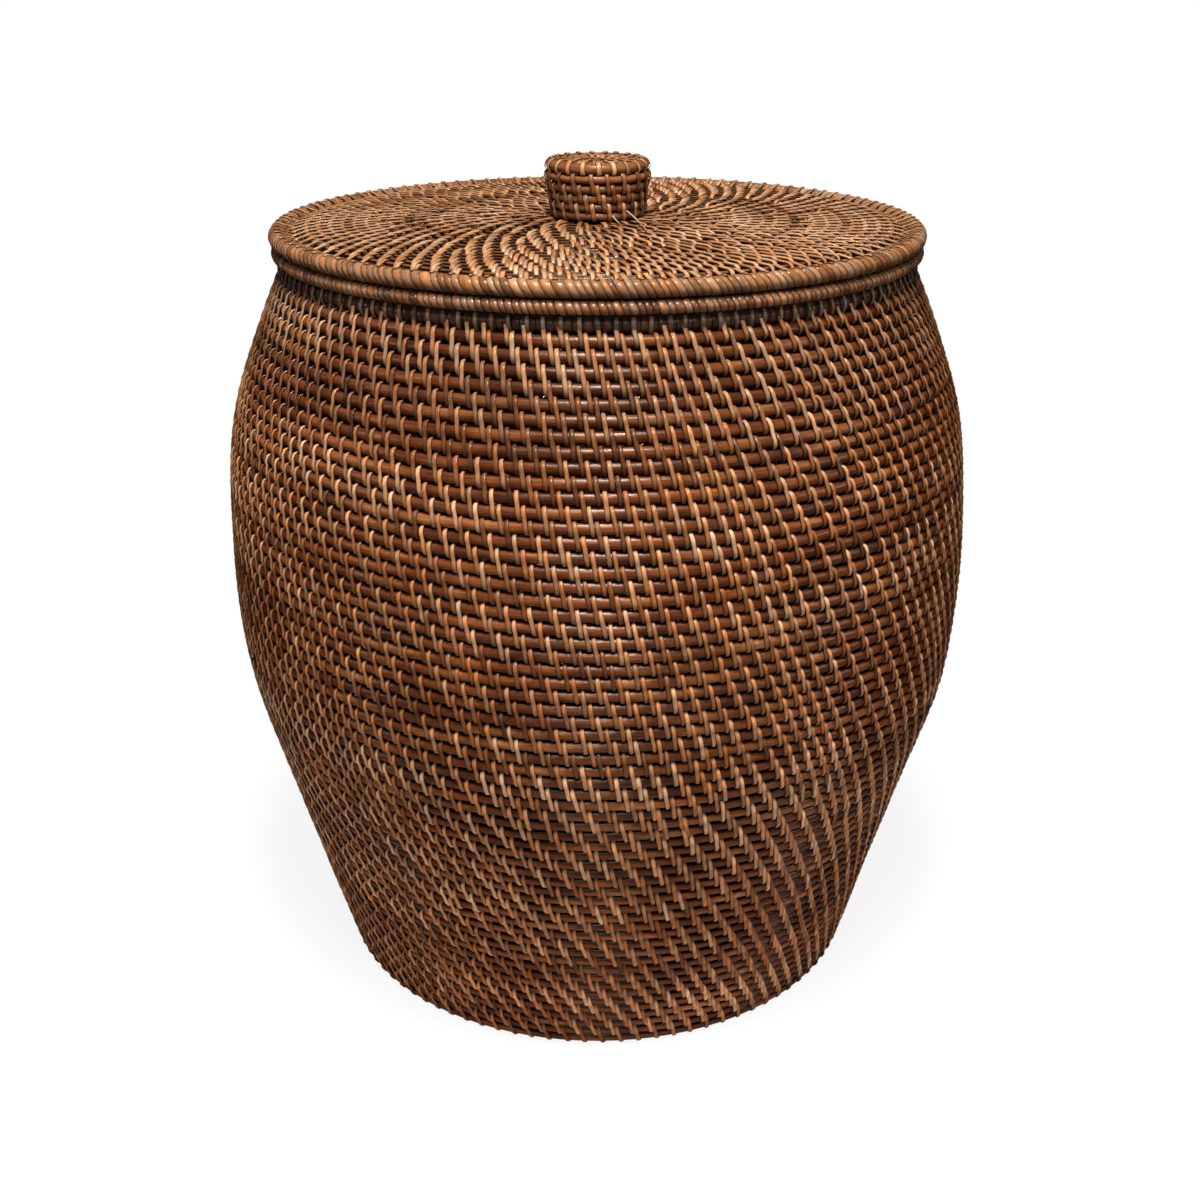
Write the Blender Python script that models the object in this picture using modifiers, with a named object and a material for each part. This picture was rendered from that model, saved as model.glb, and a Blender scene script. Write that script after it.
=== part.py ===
# Lidded laundry basket of coiled rattan: round cane laid row on row and sewn with split peel.
# The floor is z = 0 and +Z is the basket's axis. The lid lifts straight up off the rim.

import math

import bpy
import numpy

# Wall outline, from the floor up: the height gained at each station, and the outer radius there or
# how far the wall is drawn in from the belly
FOOT_RADIUS = 0.186
SHIN_RISE = 0.130
SHIN_DRAW_IN = 0.0285
FLANK_RISE = 0.090
FLANK_DRAW_IN = 0.0045
BELLY_RISE = 0.090
BELLY_RADIUS = 0.250
SHOULDER_RISE = 0.095
SHOULDER_DRAW_IN = 0.0105
MOUTH_RISE = 0.0897
MOUTH_RADIUS = 0.2035

# Radii that follow the belly
SHIN_RADIUS = BELLY_RADIUS - SHIN_DRAW_IN
FLANK_RADIUS = BELLY_RADIUS - FLANK_DRAW_IN
SHOULDER_RADIUS = BELLY_RADIUS - SHOULDER_DRAW_IN

# Cane
ROW_PITCH = 0.0083
CANE_DEPTH = 0.0076
GROOVE_DEPTH = 0.0030
SEAM = 0.0003

# Base
BASE_LIFT = 0.002
BASE_CROWN = 0.006
BASE_START_ROWS = 2
FOOT_ROWS = 2

# Wall and neck
WALL_LENGTHS = 8
NECK_ROWS = 1

# Rim hoops, wound with peel, and the ties that sew the lower one down
HOOP_OVERHANG = 0.0025
TIE_PITCH = 0.0109
TIE_REACH = 0.002
TIE_RELIEF = 0.0012
BASKET_HOOP_TUBE = 0.0043
LID_HOOP_TUBE = 0.0054

# Lid
LID_START_ROWS = 3
LID_LENGTHS = 3
LID_SHOULDER_ROWS = 2
LID_SHOULDER_DROP = 0.0035
LID_CROWN = 0.002
LID_STAND = 0.0018
COLLAR_ROWS = 2
COLLAR_CLEARANCE = 0.0055

# Knob
KNOB_HEIGHT = 0.0355
KNOB_FOOT_RADIUS = 0.0306
KNOB_HEAD_RADIUS = 0.0350
KNOB_EDGE_DROP = 0.002
KNOB_ROW_PITCH = 0.006
KNOB_GROOVE_DEPTH = 0.0020
KNOB_WALL = 0.006
KNOB_WIDEST = 0.028
KNOB_TOP_CROWN = 0.0008

# Samples along the wall outline, and facets round each turned piece
OUTLINE_SAMPLES = 400
ROUND_STEPS = 24
HOOP_SIDES = 8
KNOB_STEPS = 20
MERGE_DISTANCE = 0.00001

# Colours of the canes, as they look under their varnish
WALL_TONES = ((0.30, 0.14, 0.055), (0.34, 0.17, 0.07), (0.27, 0.12, 0.05), (0.32, 0.16, 0.075))
LID_TONES = ((0.42, 0.24, 0.10), (0.38, 0.21, 0.09), (0.45, 0.27, 0.12))
HOOP_TONE = (0.40, 0.22, 0.09)
BASE_TONE = (0.26, 0.13, 0.06)
VARNISH_ROUGHNESS = 0.42


def stations():
    rises = (0.0, SHIN_RISE, FLANK_RISE, BELLY_RISE, SHOULDER_RISE, MOUTH_RISE)
    radii = (FOOT_RADIUS, SHIN_RADIUS, FLANK_RADIUS, BELLY_RADIUS, SHOULDER_RADIUS, MOUTH_RADIUS)
    return numpy.cumsum(rises), numpy.array(radii)


STATION_HEIGHTS, STATION_RADII = stations()
WALL_HEIGHT = float(STATION_HEIGHTS[-1])


def station_slopes():
    # A parabola through each three neighbours gives the slope at the middle one
    rises = numpy.diff(STATION_HEIGHTS)
    chords = numpy.diff(STATION_RADII) / rises
    inner = (rises[:-1] * chords[1:] + rises[1:] * chords[:-1]) / (rises[:-1] + rises[1:])
    first = chords[0] + (chords[0] - inner[0]) / 2
    last = chords[-1] + (chords[-1] - inner[-1]) / 2
    return numpy.concatenate(([first], inner, [last]))


STATION_SLOPES = station_slopes()

HOOP_RADIUS = MOUTH_RADIUS + HOOP_OVERHANG
BASKET_HOOP_HEIGHT = WALL_HEIGHT + SEAM + BASKET_HOOP_TUBE
LID_SEAT = BASKET_HOOP_HEIGHT + BASKET_HOOP_TUBE + SEAM

# Heights on the lid are taken from its seat, the underside of its hoop
LID_EDGE = HOOP_RADIUS - LID_HOOP_TUBE - SEAM
LID_TOP = 2 * LID_HOOP_TUBE + LID_STAND


def wall_radius(height):
    # Smooth cubic through the stations, matched in slope where two stretches meet
    upper = int(numpy.clip(numpy.searchsorted(STATION_HEIGHTS, height), 1, len(STATION_HEIGHTS) - 1))
    lower = upper - 1
    rise = STATION_HEIGHTS[upper] - STATION_HEIGHTS[lower]
    t = (height - STATION_HEIGHTS[lower]) / rise
    value = (2 * t**3 - 3 * t**2 + 1) * STATION_RADII[lower]
    value += (t**3 - 2 * t**2 + t) * rise * STATION_SLOPES[lower]
    value += (3 * t**2 - 2 * t**3) * STATION_RADII[upper]
    value += (t**3 - t**2) * rise * STATION_SLOPES[upper]
    return float(value)


def row_levels():
    # Heights where one row of cane meets the next, evenly spaced along the wall's slope
    samples = numpy.linspace(0.0, WALL_HEIGHT, OUTLINE_SAMPLES)
    radii = numpy.array([wall_radius(height) for height in samples])
    run = numpy.concatenate(([0.0], numpy.cumsum(numpy.hypot(numpy.diff(samples), numpy.diff(radii)))))
    rows = round(run[-1] / ROW_PITCH)
    return [float(numpy.interp(run[-1] * row / rows, run, samples)) for row in range(rows + 1)]


def shares(first, last, parts):
    # Splits the rows from first to last into even runs of whole rows
    edges = [first + round((last - first) * part / parts) for part in range(parts + 1)]
    return list(zip(edges, edges[1:]))


def new_collection(name):
    collection = bpy.data.collections.new(name)
    bpy.context.scene.collection.children.link(collection)
    return collection


def cane_material(name, tone):
    material = bpy.data.materials.new(name)
    material.use_nodes = True
    shader = material.node_tree.nodes["Principled BSDF"]
    shader.inputs["Base Color"].default_value = (*tone, 1.0)
    shader.inputs["Roughness"].default_value = VARNISH_ROUGHNESS
    shader.inputs["Metallic"].default_value = 0.0
    material.diffuse_color = (*tone, 1.0)
    return material


def place(piece, tone, parent):
    piece.data.materials.append(cane_material(piece.name + "_cane", tone))
    for collection in list(piece.users_collection):
        collection.objects.unlink(piece)
    bpy.data.collections["laundry_basket"].objects.link(piece)
    piece.parent = parent
    return piece


def turned(name, profile, tone, parent, steps=ROUND_STEPS, ring=True):
    # Profile points are (radius, height), down the outer side and back up the inner side
    points = [(radius, 0.0, height) for radius, height in profile]
    edges = [(index, index + 1) for index in range(len(points) - 1)]
    if ring:
        edges.append((len(points) - 1, 0))
    mesh = bpy.data.meshes.new(name)
    mesh.from_pydata(points, edges, [])
    piece = bpy.data.objects.new(name, mesh)
    bpy.context.scene.collection.objects.link(piece)
    screw = piece.modifiers.new("Turn", "SCREW")
    screw.axis = "Z"
    screw.angle = 2 * math.pi
    screw.steps = steps
    screw.render_steps = steps
    screw.use_merge_vertices = True
    screw.merge_threshold = MERGE_DISTANCE
    screw.use_smooth_shade = True
    return place(piece, tone, parent)


def hoop(name, radius, height, tube, tone, parent):
    bpy.ops.mesh.primitive_torus_add(
        major_radius=radius, minor_radius=tube, major_segments=ROUND_STEPS, minor_segments=HOOP_SIDES
    )
    piece = bpy.context.object
    piece.name = name
    piece.data.name = name
    piece.location = (0.0, 0.0, height)
    piece.data.shade_smooth()
    return place(piece, tone, parent)


def upright_rows(levels, radius_at, depth):
    # Outer side of stacked rows from top to bottom: a groove at each seam, a crest between
    points = [(radius_at(levels[-1]) - depth, levels[-1])]
    for low, high in reversed(list(zip(levels, levels[1:]))):
        middle = (low + high) / 2
        points.append((radius_at(middle), middle))
        points.append((radius_at(low) - depth, low))
    return points


def flat_rows(edges, height_at, groove):
    # Face of rows lying side by side, from the outer edge inwards; a positive groove cuts upwards
    points = [(edges[-1], height_at(edges[-1]) + groove)]
    for near, far in reversed(list(zip(edges, edges[1:]))):
        middle = (near + far) / 2
        points.append((middle, height_at(middle)))
        points.append((near, height_at(near) + groove))
    return points


def trimmed(edges, low_trim, high_trim):
    return [edges[0] + low_trim] + list(edges[1:-1]) + [edges[-1] - high_trim]


def inside_radius(height):
    return wall_radius(height) - CANE_DEPTH


def base_underside(radius):
    return BASE_LIFT + BASE_CROWN * (1 - (radius / inside_radius(0.0)) ** 2)


def make_base(parent):
    # The coil starts as a button, then runs out as a disc that is pushed up a little in the middle
    edge = inside_radius(0.0)
    rows = round(edge / ROW_PITCH)
    pitch = edge / rows
    middle_row = BASE_START_ROWS + (rows - BASE_START_ROWS) // 2
    runs = {
        "base_start": (0, BASE_START_ROWS),
        "base_coil_inner": (BASE_START_ROWS, middle_row),
        "base_coil_outer": (middle_row, rows),
    }
    for name, (first, last) in runs.items():
        ring = first > 0
        edges = [row * pitch for row in range(first, last + 1)]
        edges = trimmed(edges, SEAM / 2 if ring else 0.0, SEAM if last == rows else SEAM / 2)
        below = flat_rows(edges, base_underside, GROOVE_DEPTH)
        above = [(radius, base_underside(radius) + CANE_DEPTH) for radius in (edges[0], edges[-1])]
        turned(name, above + below, BASE_TONE, parent, ring=ring)


def make_foot(levels, parent):
    # The turn from base to wall, with the flat ring that the basket stands on
    top = levels[FOOT_ROWS] - SEAM / 2
    outer = upright_rows(levels[:FOOT_ROWS] + [top], wall_radius, GROOVE_DEPTH)
    floor_edge = (inside_radius(0.0), 0.0)
    base_top = (inside_radius(0.0), base_underside(inside_radius(0.0)) + CANE_DEPTH)
    inner = [floor_edge, base_top, (inside_radius(top), top)]
    turned("foot_coil", outer + inner, BASE_TONE, parent)


def make_wall(levels, parent):
    # Eight lengths of cane, each a run of whole rows between level seams
    last_row = len(levels) - 1 - NECK_ROWS
    for number, (first, last) in enumerate(shares(FOOT_ROWS, last_row, WALL_LENGTHS)):
        run = trimmed(levels[first:last + 1], SEAM / 2, SEAM / 2)
        inner = [(inside_radius(height), height) for height in (run[0], run[-1])]
        profile = upright_rows(run, wall_radius, GROOVE_DEPTH) + inner
        turned(f"wall_coil_{number + 1}", profile, WALL_TONES[number % len(WALL_TONES)], parent)


def make_neck(levels, parent):
    # The drawn-in row that the rim hoop is tied down to
    run = trimmed(levels[-1 - NECK_ROWS:], SEAM / 2, 0.0)
    inner = [(inside_radius(height), height) for height in (run[0], run[-1])]
    turned("neck_coil", upright_rows(run, wall_radius, GROOVE_DEPTH) + inner, BASE_TONE, parent)


def make_rim_ties(levels, parent):
    # A wedge of peel between the neck row and the hoop, standing proud at each tie
    low = levels[-1 - NECK_ROWS] + SEAM
    count = 2 * round(2 * math.pi * HOOP_RADIUS / TIE_PITCH)
    points = []
    for index in range(count):
        angle = 2 * math.pi * index / count
        outer = HOOP_RADIUS + TIE_REACH - (TIE_RELIEF if index % 2 else 0.0)
        section = (
            (wall_radius(low) + SEAM, low),
            (outer, WALL_HEIGHT),
            (wall_radius(WALL_HEIGHT) + SEAM, WALL_HEIGHT),
        )
        points += [(radius * math.cos(angle), radius * math.sin(angle), height) for radius, height in section]
    faces = []
    for index in range(count):
        here, beyond = 3 * index, 3 * ((index + 1) % count)
        for side in range(3):
            after = (side + 1) % 3
            faces.append((here + side, beyond + side, beyond + after, here + after))
    mesh = bpy.data.meshes.new("rim_ties")
    mesh.from_pydata(points, [], faces)
    ties = bpy.data.objects.new("rim_ties", mesh)
    bpy.context.scene.collection.objects.link(ties)
    return place(ties, HOOP_TONE, parent)


def lid_surface(radius):
    # Nearly flat, and rolled down over the last rows to meet the hoop
    shoulder = LID_SHOULDER_ROWS * ROW_PITCH
    roll = max(0.0, (radius - (LID_EDGE - shoulder)) / shoulder)
    return LID_TOP - LID_CROWN * (radius / LID_EDGE) ** 2 - LID_SHOULDER_DROP * roll**2


def lid_underside(radius):
    return lid_surface(radius) - CANE_DEPTH


def make_lid(parent):
    rows = round(LID_EDGE / ROW_PITCH)
    pitch = LID_EDGE / rows
    runs = {"lid_start": (0, LID_START_ROWS)}
    for number, run in enumerate(shares(LID_START_ROWS, rows - LID_SHOULDER_ROWS, LID_LENGTHS)):
        runs[f"lid_coil_{number + 1}"] = run
    runs["lid_shoulder_coil"] = (rows - LID_SHOULDER_ROWS, rows)
    for number, (name, (first, last)) in enumerate(runs.items()):
        ring = first > 0
        edges = [row * pitch for row in range(first, last + 1)]
        edges = trimmed(edges, SEAM / 2 if ring else 0.0, 0.0 if last == rows else SEAM / 2)
        above = flat_rows(edges, lid_surface, -GROOVE_DEPTH)[::-1]
        below = [(radius, lid_underside(radius)) for radius in reversed(edges)]
        turned(name, above + below, LID_TONES[number % len(LID_TONES)], parent, ring=ring)


def make_collar(parent):
    # Rows under the lid that drop into the mouth and keep the lid from sliding off
    outer = inside_radius(WALL_HEIGHT) - COLLAR_CLEARANCE
    top = lid_underside(outer) - SEAM
    levels = [top - ROW_PITCH * row for row in range(COLLAR_ROWS, -1, -1)]
    inner = [(outer - CANE_DEPTH, levels[0]), (outer - CANE_DEPTH, top)]
    turned("lid_collar", upright_rows(levels, lambda height: outer, GROOVE_DEPTH) + inner, BASE_TONE, parent)


def knob_radius(height):
    # Widens from the foot, then rounds over at the top row
    widening = (KNOB_HEAD_RADIUS - KNOB_FOOT_RADIUS) * min(1.0, height / KNOB_WIDEST)
    edge = max(0.0, height - (KNOB_HEIGHT - KNOB_ROW_PITCH)) / KNOB_ROW_PITCH
    return KNOB_FOOT_RADIUS + widening - KNOB_EDGE_DROP * edge**2


def make_knob(parent):
    foot = LID_TOP + SEAM
    rows = round(KNOB_HEIGHT / KNOB_ROW_PITCH)
    levels = [KNOB_HEIGHT * row / rows for row in range(rows + 1)]
    bore = KNOB_FOOT_RADIUS - KNOB_WALL
    side = upright_rows(levels, knob_radius, KNOB_GROOVE_DEPTH) + [(bore, 0.0), (bore, KNOB_HEIGHT)]
    side = [(radius, foot + height) for radius, height in side]
    turned("knob_coil", side, LID_TONES[0], parent, KNOB_STEPS)

    cap_edge = bore - SEAM
    cap_rows = round(cap_edge / KNOB_ROW_PITCH)
    edges = [cap_edge * row / cap_rows for row in range(cap_rows + 1)]
    top = foot + KNOB_HEIGHT

    def cap_surface(radius):
        return top + KNOB_TOP_CROWN * (1 - (radius / cap_edge) ** 2)

    above = flat_rows(edges, cap_surface, -KNOB_GROOVE_DEPTH)[::-1]
    below = [(cap_edge, top - KNOB_WALL), (0.0, top - KNOB_WALL)]
    turned("knob_cap", above + below, LID_TONES[2], parent, KNOB_STEPS, ring=False)


def joint_empty(name, height):
    marker = bpy.data.objects.new(name, None)
    marker.location = (0.0, 0.0, height)
    bpy.data.collections["laundry_basket"].objects.link(marker)
    return marker


def build():
    for item in list(bpy.data.objects):
        bpy.data.objects.remove(item, do_unlink=True)
    new_collection("laundry_basket")
    basket = joint_empty("basket", 0.0)
    lid = joint_empty("lid_lift", LID_SEAT)

    levels = row_levels()
    make_base(basket)
    make_foot(levels, basket)
    make_wall(levels, basket)
    make_neck(levels, basket)
    make_rim_ties(levels, basket)
    hoop("basket_hoop", HOOP_RADIUS, BASKET_HOOP_HEIGHT, BASKET_HOOP_TUBE, HOOP_TONE, basket)

    make_lid(lid)
    hoop("lid_hoop", HOOP_RADIUS, LID_HOOP_TUBE, LID_HOOP_TUBE, HOOP_TONE, lid)
    make_collar(lid)
    make_knob(lid)


build()
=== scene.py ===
import math
import random

import bpy
import numpy
from mathutils import Matrix, Vector


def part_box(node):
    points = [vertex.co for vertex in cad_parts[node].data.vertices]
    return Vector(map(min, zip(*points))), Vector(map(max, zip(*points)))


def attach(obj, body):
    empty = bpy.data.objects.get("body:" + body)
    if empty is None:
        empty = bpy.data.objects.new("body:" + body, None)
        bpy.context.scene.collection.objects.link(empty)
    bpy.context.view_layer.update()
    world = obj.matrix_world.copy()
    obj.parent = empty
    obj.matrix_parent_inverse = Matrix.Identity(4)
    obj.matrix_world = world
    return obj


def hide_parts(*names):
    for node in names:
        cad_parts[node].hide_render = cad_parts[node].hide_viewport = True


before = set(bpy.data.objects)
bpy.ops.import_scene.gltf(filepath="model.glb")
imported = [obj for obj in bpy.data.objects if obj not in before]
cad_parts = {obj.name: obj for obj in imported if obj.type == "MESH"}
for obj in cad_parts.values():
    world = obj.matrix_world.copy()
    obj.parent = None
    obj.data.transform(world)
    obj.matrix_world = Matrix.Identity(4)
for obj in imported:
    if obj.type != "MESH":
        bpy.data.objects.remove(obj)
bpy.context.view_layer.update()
mm = 0.001


# Small helpers
bench = {}  # holds the tree of nodes that is being built


def put(kind, inputs=None, **settings):
    # adds one node, sets it up and fills or links its inputs
    tree = bench["tree"]
    node = tree.nodes.new(kind)
    for name, value in settings.items():
        setattr(node, name, value)
    for name, value in (inputs or {}).items():
        socket = node.inputs[name]
        if isinstance(value, bpy.types.NodeSocket):
            tree.links.new(value, socket)
        else:
            socket.default_value = value
    return node


def result(kind, inputs=None, **settings):
    return put(kind, inputs, **settings).outputs[0]


def link(output, socket):
    bench["tree"].links.new(output, socket)


def calc(operation, *values):
    return result("ShaderNodeMath", dict(enumerate(values)), operation=operation)


def times(first, second):
    return calc("MULTIPLY", first, second)


def timesPlus(first, second, third):
    return calc("MULTIPLY_ADD", first, second, third)


def less(first, second):
    return calc("SUBTRACT", first, second)


def vectorCalc(operation, *values, output="Vector"):
    return put("ShaderNodeVectorMath", dict(enumerate(values)), operation=operation).outputs[output]


def vector(x=0.0, y=0.0, z=0.0):
    return result("ShaderNodeCombineXYZ", {"X": x, "Y": y, "Z": z})


def split(value):
    return put("ShaderNodeSeparateXYZ", {0: value}).outputs


def spread(value, low, high, start=0.0, end=1.0, curve="LINEAR"):
    # maps low to high onto start to end
    sizes = {"Value": value, "From Min": low, "From Max": high, "To Min": start, "To Max": end}
    return result("ShaderNodeMapRange", sizes, interpolation_type=curve)


def newTree(name, sizes):
    # a Geometry Nodes tree with one named input for each size
    tree = bpy.data.node_groups.new(name, "GeometryNodeTree")
    tree.interface.new_socket("Geometry", in_out="INPUT", socket_type="NodeSocketGeometry")
    tree.interface.new_socket("Geometry", in_out="OUTPUT", socket_type="NodeSocketGeometry")
    kinds = {int: "NodeSocketInt", float: "NodeSocketFloat"}
    for title, value in sizes.items():
        socket = tree.interface.new_socket(title, in_out="INPUT", socket_type=kinds[type(value)])
        socket.default_value = value
    tree.interface.new_socket("Material", in_out="INPUT", socket_type="NodeSocketMaterial")
    bench["tree"] = tree
    return tree, put("NodeGroupInput").outputs


def closeTree(geometry, material):
    # every tree ends the same way: real faces, smooth, in one material
    real = result("GeometryNodeRealizeInstances", {"Geometry": geometry})
    smooth = result("GeometryNodeSetShadeSmooth", {"Geometry": real})
    done = result("GeometryNodeSetMaterial", {"Geometry": smooth, "Material": material})
    put("NodeGroupOutput", {0: done})


def added(name, data):
    thing = bpy.data.objects.new(name, data)
    bpy.context.scene.collection.objects.link(thing)
    return thing


def grow(name, seed, tree, values):
    # runs a tree on a seed mesh and keeps the result as a plain mesh
    piece = added(name, seed)
    nodes = piece.modifiers.new(tree.name, "NODES")
    nodes.node_group = tree
    for item in tree.interface.items_tree:
        if item.in_out == "INPUT" and item.name in values:
            nodes[item.identifier] = values[item.name]
    graph = bpy.context.evaluated_depsgraph_get()
    grown = piece.evaluated_get(graph)
    made = bpy.data.meshes.new_from_object(grown, preserve_all_data_layers=True, depsgraph=graph)
    piece.modifiers.remove(nodes)
    piece.data = made
    made.name = name
    return piece


def pointsOf(mesh):
    coords = numpy.empty(len(mesh.vertices) * 3)
    mesh.vertices.foreach_get("co", coords)
    return coords.reshape(-1, 3)


def movePoints(mesh, coords):
    mesh.vertices.foreach_set("co", coords.ravel())
    mesh.update()


def stored(geometry, name, value, kind="FLOAT"):
    inputs = {"Geometry": geometry, "Name": name, "Value": value}
    return result("GeometryNodeStoreNamedAttribute", inputs, data_type=kind, domain="POINT")


def named(name):
    node = put("GeometryNodeInputNamedAttribute", {"Name": name}, data_type="FLOAT_VECTOR")
    return node.outputs["Attribute"]


def position():
    return result("GeometryNodeInputPosition")


def setAt(geometry, place):
    return result("GeometryNodeSetPosition", {"Geometry": geometry, "Position": place})


def rail(count):
    # a curve of that many points, which setAt then puts in place
    line = result("GeometryNodeMeshLine", {"Count": count})
    return result("GeometryNodeMeshToCurve", {"Mesh": line})


def circle(sides, radius=1.0):
    sizes = {"Resolution": sides, "Radius": radius}
    return result("GeometryNodeCurvePrimitiveCircle", sizes, mode="RADIUS")


def swept(path, ring, girth):
    sweep = {"Curve": path, "Profile Curve": ring, "Scale": girth, "Fill Caps": True}
    return result("GeometryNodeCurveToMesh", sweep)


# Rows of cane, read from the frame
crestSigns = {"proud": 0.5 * mm, "apart": 5 * mm, "onPlane": 1e-5}


def crestLine(nodes, follow, side):
    # (radius, height) of each row's crest on the +X side; follow is 0 for flat rows, 1 for stacked rows
    best = {}
    for node in nodes:
        for x, y, z in pointsOf(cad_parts[node].data):
            if abs(y) < crestSigns["onPlane"] and x > -crestSigns["onPlane"]:
                place, out = ((x, z), (z, x))[follow]
                place = round(place, 5)
                best[place] = max(best.get(place, -1.0), side * out)
    places = sorted(best)
    rows = []
    for before, place, after in zip(places, places[1:], places[2:]):
        crest = ((place, side * best[place]), (side * best[place], place))[follow]
        proud = best[place] - (best[before] + best[after]) / 2
        apart = math.dist(rows[-1], crest) if rows else math.inf
        if proud > crestSigns["proud"] and apart > crestSigns["apart"]:
            rows.append(crest)
    return numpy.array(rows)


def withHalfRows(centres):
    # one half-seen row more at each end
    return numpy.vstack((2 * centres[0] - centres[1], centres, 2 * centres[-1] - centres[-2]))


def rowCentres(crests, depth):
    # steps each crest back by depth, square to the line of crests
    run = numpy.gradient(crests, axis=0)
    run /= numpy.linalg.norm(run, axis=1)[:, None]
    return withHalfRows(crests - depth * numpy.column_stack((run[:, 1], -run[:, 0])))


# The seam is at the back. The first and last rows step up there, and those between climb evenly
spiral = {"seam": math.pi, "stepShare": 0.16, "easeRows": 9.0}


def spiralLevel(turn, rows):
    # which row a turn of the spiral is at, and how much of the cane is left where it tapers off
    lap = math.floor(turn)
    share = turn - lap
    step = min(1.0, share / spiral["stepShare"])
    step = step * step * (3 - 2 * step)
    free = min(1.0, max(0.0, min(lap, rows - lap)) / spiral["easeRows"])
    level = lap - 1 + step + (share - step) * free
    low, high = max(0.0, -level), max(0.0, level - (rows - 1))
    return level + (low - high) / 2, 1 - low - high


def strandAt(centres, turn):
    # (radius, height) of the cane's centre at a turn, and how much of the cane is left there
    level, girth = spiralLevel(turn, len(centres) - 2)
    index = numpy.arange(len(centres)) - 1
    return numpy.array([numpy.interp(level, index, centres[:, axis]) for axis in (0, 1)]), girth


def caneTree():
    # sweeps one long cane along the spiral through the rows' centres, with spiralLevel's rule in nodes
    sizes = {"Rows": 10, "Steps per turn": 96, "Sides": 10, "Cane radius": 3.7 * mm}
    seam = {"Seam": spiral["seam"], "Step share": spiral["stepShare"], "Ease rows": spiral["easeRows"]}
    tree, given = newTree("coiled cane", {**sizes, **seam})
    rows, steps = given["Rows"], given["Steps per turn"]
    turn = calc("DIVIDE", result("GeometryNodeInputIndex"), steps)
    lap = calc("FLOOR", calc("ADD", turn, 1e-5))
    share = less(turn, lap)
    step = spread(share, 0.0, given["Step share"], curve="SMOOTHSTEP")
    ends = calc("MAXIMUM", calc("MINIMUM", lap, less(rows, lap)), 0.0)
    free = calc("MINIMUM", calc("DIVIDE", ends, given["Ease rows"]), 1.0)
    climb = timesPlus(less(share, step), free, step)
    level = calc("ADD", less(lap, 1.0), climb)
    low = calc("MAXIMUM", times(level, -1.0), 0.0)
    high = calc("MAXIMUM", less(level, less(rows, 1.0)), 0.0)
    level = timesPlus(less(low, high), 0.5, level)
    girth = less(less(1.0, low), high)

    place = calc("ADD", level, 1.0)
    below = calc("FLOOR", place)
    spot = position()
    beside = []
    for index in (below, calc("ADD", below, 1.0)):
        wanted = {"Geometry": given["Geometry"], "Value": spot, "Index": index}
        beside.append(result("GeometryNodeSampleIndex", wanted, data_type="FLOAT_VECTOR", clamp=True))
    between = {"Factor": less(place, below), 4: beside[0], 5: beside[1]}
    centre = split(put("ShaderNodeMix", between, data_type="VECTOR").outputs[1])
    angle = timesPlus(turn, 2 * math.pi, given["Seam"])
    x = times(centre["X"], calc("SINE", angle))
    y = times(centre["X"], times(calc("COSINE", angle), -1.0))
    count = calc("ADD", times(calc("ADD", rows, 1.0), steps), 1.0)
    path = setAt(rail(count), vector(x, y, centre["Z"]))
    path = result("GeometryNodeSetCurveNormal", {"Curve": path}, mode="Z_UP")
    path = stored(path, "along", put("GeometryNodeSplineParameter").outputs["Length"])
    run = split(vectorCalc("NORMALIZE", vectorCalc("SUBTRACT", beside[1], beside[0])))
    down = times(run["Z"], -1.0)
    path = stored(path, "beside", vector(run["X"], down), "FLOAT_VECTOR")
    ring = circle(given["Sides"], given["Cane radius"])
    ring = stored(ring, "around", vectorCalc("NORMALIZE", spot), "FLOAT_VECTOR")
    closeTree(swept(path, ring, girth), given["Material"])
    return tree


def coil(name, centres, material, caneRadius, steps=96, sides=10):
    seed = bpy.data.meshes.new(name + " rows")
    seed.from_pydata([(radius, 0.0, height) for radius, height in centres], [], [])
    sizes = {"Rows": len(centres) - 2, "Steps per turn": steps, "Sides": sides, "Cane radius": caneRadius}
    return grow(name, seed, caneNodes, {**sizes, "Material": material})


def caneRing(name, radius, height, tube, material, steps=120, sides=12):
    # one closed ring of cane, with the same attributes as a coil
    spots, faces, around, along = [], [], [], []
    for step in range(steps):
        azimuth = spiral["seam"] + 2 * math.pi * step / steps
        for side in range(sides):
            turn = 2 * math.pi * side / sides
            reach, rise = radius + tube * math.cos(turn), height + tube * math.sin(turn)
            spots.append((reach * math.sin(azimuth), -reach * math.cos(azimuth), rise))
            around.append((math.cos(turn), -math.sin(turn), 0.0))
            along.append(azimuth * radius)
            here, beside = step * sides, (step + 1) % steps * sides
            after = (side + 1) % sides
            faces.append((here + side, beside + side, beside + after, here + after))
    mesh = bpy.data.meshes.new(name)
    mesh.from_pydata(spots, [], faces)
    mesh.attributes.new("around", "FLOAT_VECTOR", "POINT").data.foreach_set("vector", numpy.ravel(around))
    mesh.attributes.new("along", "FLOAT", "POINT").data.foreach_set("value", along)
    mesh.shade_smooth()
    mesh.materials.append(material)
    return added(name, mesh)


# Strips of peel
def squared(ring, squareness):
    # pulls a unit circle towards a square, for peel with a flat face and rounded edges
    place = split(position())
    sides = []
    for axis in "XY":
        size = calc("POWER", calc("ABSOLUTE", place[axis]), squareness)
        sides.append(times(size, calc("SIGN", place[axis])))
    return setAt(ring, vector(*sides))


def peelSection(sides, axis, scale, squareness=None):
    # the section of a strip; axis is the one that runs across the strip
    ring = stored(circle(sides), "across", split(position())[axis])
    if squareness is not None:
        ring = squared(ring, squareness)
    return result("GeometryNodeTransform", {"Geometry": ring, "Scale": scale})


def peelSize(given):
    half = [times(given[size], 0.5) for size in ("Peel width", "Peel thickness")]
    return vector(*half, 1.0)


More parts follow.
